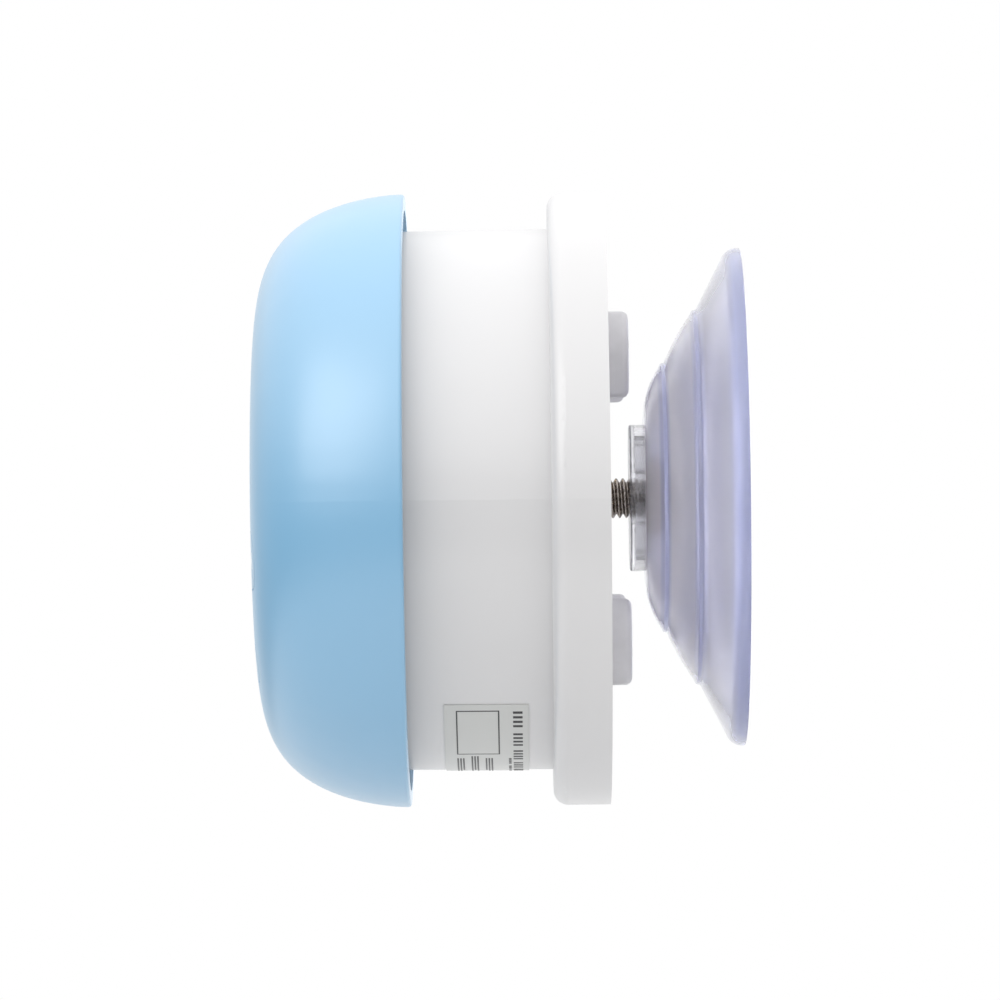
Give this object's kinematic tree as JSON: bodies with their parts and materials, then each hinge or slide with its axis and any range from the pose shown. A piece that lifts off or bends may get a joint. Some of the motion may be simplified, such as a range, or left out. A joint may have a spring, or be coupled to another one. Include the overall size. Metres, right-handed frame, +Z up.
{
  "type": "shower speaker",
  "caption": "Round waterproof speaker with a squared blue dome on a white drum and rear flange, held to a wall by a clear suction cup on a threaded stud.",
  "frame": {"origin": "centre of the suction cup's rim, on the wall that it holds to", "axes": "+Y into the wall, so the speaker faces -Y; +Z up with the buttons below the grille; +X to the right seen from the front"},
  "size_m": [0.092, 0.073, 0.092],
  "materials": {
    "blue_plastic": "satin moulded",
    "white_plastic": "satin moulded",
    "cup_pvc": "clear soft, smooth",
    "clear_plastic": "clear, smooth",
    "foot_rubber": "translucent soft",
    "silicone": "matt silicone",
    "seal_rubber": "matt",
    "steel": "bright",
    "brass": "turned",
    "magnet": "sintered",
    "cone_paper": "pressed",
    "copper": "wound wire",
    "cloth": "woven",
    "foam": "open-cell",
    "board": "solder mask",
    "black_plastic": "moulded",
    "pouch": "foil",
    "wire": "insulation",
    "ribbon": "film",
    "label": "printed film",
    "button": "satin"
  },
  "bodies": {
    "cup": {"suction_cup": "cup_pvc"},
    "socket": {"head_socket": "clear_plastic"},
    "screw": {"stud": "steel", "hub_disc": "clear_plastic"},
    "cone": {"driver_cone": "cone_paper", "driver_dust_cap": "cone_paper", "voice_coil": "copper"},
    "port_flap": {"port_cover": "silicone"},
    "call_key": {"button_call": "button"},
    "volume_down_key": {"button_volume_down": "button"},
    "power_key": {"button_power": "button"},
    "volume_up_key": {"button_volume_up": "button"},
    "play_key": {"button_play": "button"},
    "speaker": {"front_cover": "blue_plastic", "grille_cloth": "cloth", "keymat": "silicone", "button_board": "board", "button_board_screws": "steel", "tact_switches": "black_plastic", "status_led": "label", "led_lens": "clear_plastic", "microphone": "steel", "microphone_boot": "seal_rubber", "driver_gasket": "foam", "driver_basket": "steel", "driver_surround": "seal_rubber", "driver_spider": "cloth", "driver_top_plate": "steel", "driver_magnet": "magnet", "driver_yoke": "steel", "driver_terminals": "black_plastic", "driver_screws": "steel", "drum_housing": "white_plastic", "front_seal": "seal_rubber", "rear_seal": "seal_rubber", "rear_cover": "white_plastic", "stud_insert": "brass", "case_screws": "steel", "rating_label": "label", "port_cover_anchor": "silicone", "usb_socket": "steel", "main_board": "board", "board_screws": "steel", "bluetooth_module": "steel", "amplifier_chip": "black_plastic", "filter_capacitors": "black_plastic", "battery_pad": "foam", "battery": "pouch", "battery_wires": "wire", "speaker_wires": "wire", "ribbon_sockets": "black_plastic", "keypad_ribbon": "ribbon", "foot_upper_right": "foot_rubber", "foot_upper_left": "foot_rubber", "foot_lower_left": "foot_rubber", "foot_lower_right": "foot_rubber"}
  },
  "joints": [
    {"name": "cup_press", "type": "slide", "parent": "cup", "child": "socket", "axis": [0, 1, 0], "range_m": [0, 0.005], "stiffness_N_per_m": 2000, "deforming": ["suction_cup"]},
    {"name": "stud_turn", "type": "hinge", "parent": "socket", "child": "screw", "pos_m": [0, -0.0125, 0], "axis": [0, 1, 0], "range_deg": [0, 2520]},
    {"name": "speaker_travel", "type": "slide", "parent": "socket", "child": "speaker", "axis": [0, -1, 0], "range_m": [0, 0.007]},
    {"name": "cone_travel", "type": "slide", "parent": "speaker", "child": "cone", "axis": [0, -1, 0], "range_m": [-0.0008, 0.0008], "stiffness_N_per_m": 1200, "deforming": ["driver_surround", "driver_spider"]},
    {"name": "port_hinge", "type": "hinge", "parent": "speaker", "child": "port_flap", "pos_m": [-0.04, -0.0355, 0.0076], "axis": [0, 1, 0], "range_deg": [0, 110]},
    {"name": "call_press", "type": "slide", "parent": "speaker", "child": "call_key", "axis": [0, 1, 0], "range_m": [0, 0.0005], "stiffness_N_per_m": 4000},
    {"name": "volume_down_press", "type": "slide", "parent": "speaker", "child": "volume_down_key", "axis": [0, 1, 0], "range_m": [0, 0.0005], "stiffness_N_per_m": 4000},
    {"name": "power_press", "type": "slide", "parent": "speaker", "child": "power_key", "axis": [0, 1, 0], "range_m": [0, 0.0005], "stiffness_N_per_m": 4000},
    {"name": "volume_up_press", "type": "slide", "parent": "speaker", "child": "volume_up_key", "axis": [0, 1, 0], "range_m": [0, 0.0005], "stiffness_N_per_m": 4000},
    {"name": "play_press", "type": "slide", "parent": "speaker", "child": "play_key", "axis": [0, 1, 0], "range_m": [0, 0.0005], "stiffness_N_per_m": 4000}
  ],
  "couplings": [
    {"joint": "stud_turn", "follows": "speaker_travel", "rad_per_m": 6283.2}
  ]
}
